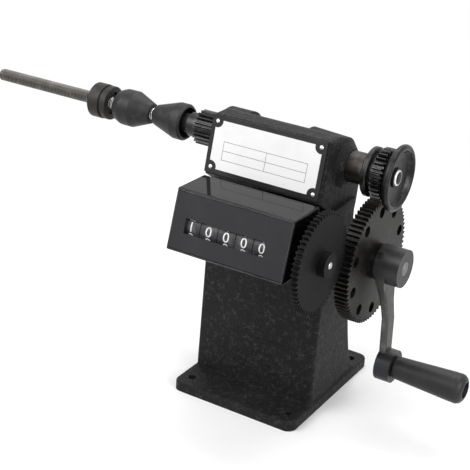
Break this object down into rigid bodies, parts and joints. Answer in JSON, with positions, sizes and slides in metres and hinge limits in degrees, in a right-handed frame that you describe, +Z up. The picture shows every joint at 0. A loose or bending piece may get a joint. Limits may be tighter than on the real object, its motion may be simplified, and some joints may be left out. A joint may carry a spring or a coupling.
{
  "type": "wire coil winding machine",
  "caption": "Hand-cranked coil winder: cast iron stand, geared crank, threaded winding spindle with clamping cones and a turns counter with digit wheels.",
  "frame": {"origin": "centre of the four bolt holes, on the underside of the base", "axes": "+X along the spindle towards the crank, +Y to the back, away from the counter, +Z up"},
  "size_m": [0.4465, 0.1934, 0.225],
  "materials": {
    "cast_paint": "black paint over rough cast iron",
    "bush_bronze": "dull brown sintered bronze",
    "dark_steel": "blackened machined steel",
    "bright_steel": "bare turned steel",
    "screw_steel": "blackened screws",
    "washer_black": "blackened spring steel",
    "plate_white": "printed aluminium with a white field and a black border",
    "bracket_paint": "black paint on folded steel",
    "case_gloss": "glossy black moulding",
    "wheel_plastic": "dark grey moulding with white digits",
    "gear_plastic": "black moulded gear",
    "grip_plastic": "smooth black handle"
  },
  "bodies": {
    "frame": {"machine_casting": "cast_paint", "left_spindle_bush": "bush_bronze", "right_spindle_bush": "bush_bronze", "crank_bush_inner": "bush_bronze", "crank_bush_outer": "bush_bronze", "nameplate": "plate_white", "nameplate_rivets": "bright_steel", "counter_bracket": "bracket_paint", "bracket_screws": "screw_steel", "counter_case": "case_gloss", "counter_front": "case_gloss", "carry_shaft": "bright_steel"},
    "crank": {"crank_shaft": "bright_steel", "crank_collar": "dark_steel", "crank_gear": "dark_steel", "crank_arm": "dark_steel", "crank_arm_screw": "screw_steel", "crank_grub_screws": "screw_steel", "grip_axle": "bright_steel"},
    "grip": {"grip": "grip_plastic"},
    "spindle": {"spindle_shaft": "dark_steel", "motor_pinion": "dark_steel", "right_cone": "dark_steel", "drive_pinion": "dark_steel", "handwheel": "dark_steel", "spindle_lock_ring": "washer_black", "spindle_grub_screws": "screw_steel"},
    "left_cone": {"left_cone": "dark_steel"},
    "lock_nut": {"lock_nut": "dark_steel"},
    "counter_drive": {"counter_shaft": "bright_steel", "counter_gear": "gear_plastic", "counter_grub_screw": "screw_steel", "units_wheel": "wheel_plastic"},
    "digit_wheel_4": {"digit_wheel_4": "wheel_plastic"},
    "carry_pinion_4": {"carry_pinion_4": "wheel_plastic"},
    "digit_wheel_3": {"digit_wheel_3": "wheel_plastic"},
    "carry_pinion_3": {"carry_pinion_3": "wheel_plastic"},
    "digit_wheel_2": {"digit_wheel_2": "wheel_plastic"},
    "carry_pinion_2": {"carry_pinion_2": "wheel_plastic"},
    "digit_wheel_1": {"digit_wheel_1": "wheel_plastic"},
    "carry_pinion_1": {"carry_pinion_1": "wheel_plastic"}
  },
  "joints": [
    {"name": "crank_turn", "type": "hinge", "parent": "frame", "child": "crank", "pos_m": [0, -0.012, 0.13465], "axis": [1, 0, 0], "continuous": true},
    {"name": "grip_spin", "type": "hinge", "parent": "crank", "child": "grip", "pos_m": [0.138, -0.012, 0.05315], "axis": [1, 0, 0], "continuous": true},
    {"name": "spindle_turn", "type": "hinge", "parent": "frame", "child": "spindle", "pos_m": [0, -0.006, 0.2], "axis": [1, 0, 0], "continuous": true},
    {"name": "counter_turn", "type": "hinge", "parent": "frame", "child": "counter_drive", "pos_m": [0, -0.0905, 0.16003], "axis": [1, 0, 0], "continuous": true},
    {"name": "cone_slide", "type": "slide", "parent": "spindle", "child": "left_cone", "axis": [1, 0, 0], "range_m": [-0.098, 0.0036]},
    {"name": "nut_turn", "type": "hinge", "parent": "left_cone", "child": "lock_nut", "pos_m": [-0.17, -0.006, 0.2], "axis": [1, 0, 0], "range_deg": [-23521, 865]},
    {"name": "digit_wheel_4_turn", "type": "hinge", "parent": "frame", "child": "digit_wheel_4", "pos_m": [0.023, -0.0905, 0.16003], "axis": [1, 0, 0], "continuous": true},
    {"name": "carry_pinion_4_turn", "type": "hinge", "parent": "frame", "child": "carry_pinion_4", "pos_m": [0.03025, -0.073, 0.16003], "axis": [1, 0, 0], "continuous": true},
    {"name": "digit_wheel_3_turn", "type": "hinge", "parent": "frame", "child": "digit_wheel_3", "pos_m": [0.0085, -0.0905, 0.16003], "axis": [1, 0, 0], "continuous": true},
    {"name": "carry_pinion_3_turn", "type": "hinge", "parent": "frame", "child": "carry_pinion_3", "pos_m": [0.01575, -0.073, 0.16003], "axis": [1, 0, 0], "continuous": true},
    {"name": "digit_wheel_2_turn", "type": "hinge", "parent": "frame", "child": "digit_wheel_2", "pos_m": [-0.006, -0.0905, 0.16003], "axis": [1, 0, 0], "continuous": true},
    {"name": "carry_pinion_2_turn", "type": "hinge", "parent": "frame", "child": "carry_pinion_2", "pos_m": [0.00125, -0.073, 0.16003], "axis": [1, 0, 0], "continuous": true},
    {"name": "digit_wheel_1_turn", "type": "hinge", "parent": "frame", "child": "digit_wheel_1", "pos_m": [-0.0205, -0.0905, 0.16003], "axis": [1, 0, 0], "continuous": true},
    {"name": "carry_pinion_1_turn", "type": "hinge", "parent": "frame", "child": "carry_pinion_1", "pos_m": [-0.01325, -0.073, 0.16003], "axis": [1, 0, 0], "continuous": true}
  ],
  "couplings": [
    {"joint": "spindle_turn", "follows": "crank_turn", "ratio": -2.5},
    {"joint": "counter_turn", "follows": "crank_turn", "ratio": -1.3158},
    {"joint": "nut_turn", "follows": "cone_slide", "rad_per_m": 4188.8},
    {"joint": "digit_wheel_4_turn", "follows": "crank_turn", "ratio": -0.13158},
    {"joint": "carry_pinion_4_turn", "follows": "crank_turn", "ratio": 0.32895},
    {"joint": "digit_wheel_3_turn", "follows": "crank_turn", "ratio": -0.013158},
    {"joint": "carry_pinion_3_turn", "follows": "crank_turn", "ratio": 0.032895},
    {"joint": "digit_wheel_2_turn", "follows": "crank_turn", "ratio": -0.0013158},
    {"joint": "carry_pinion_2_turn", "follows": "crank_turn", "ratio": 0.0032895},
    {"joint": "digit_wheel_1_turn", "follows": "crank_turn", "ratio": -0.00013158},
    {"joint": "carry_pinion_1_turn", "follows": "crank_turn", "ratio": 0.00032895}
  ]
}
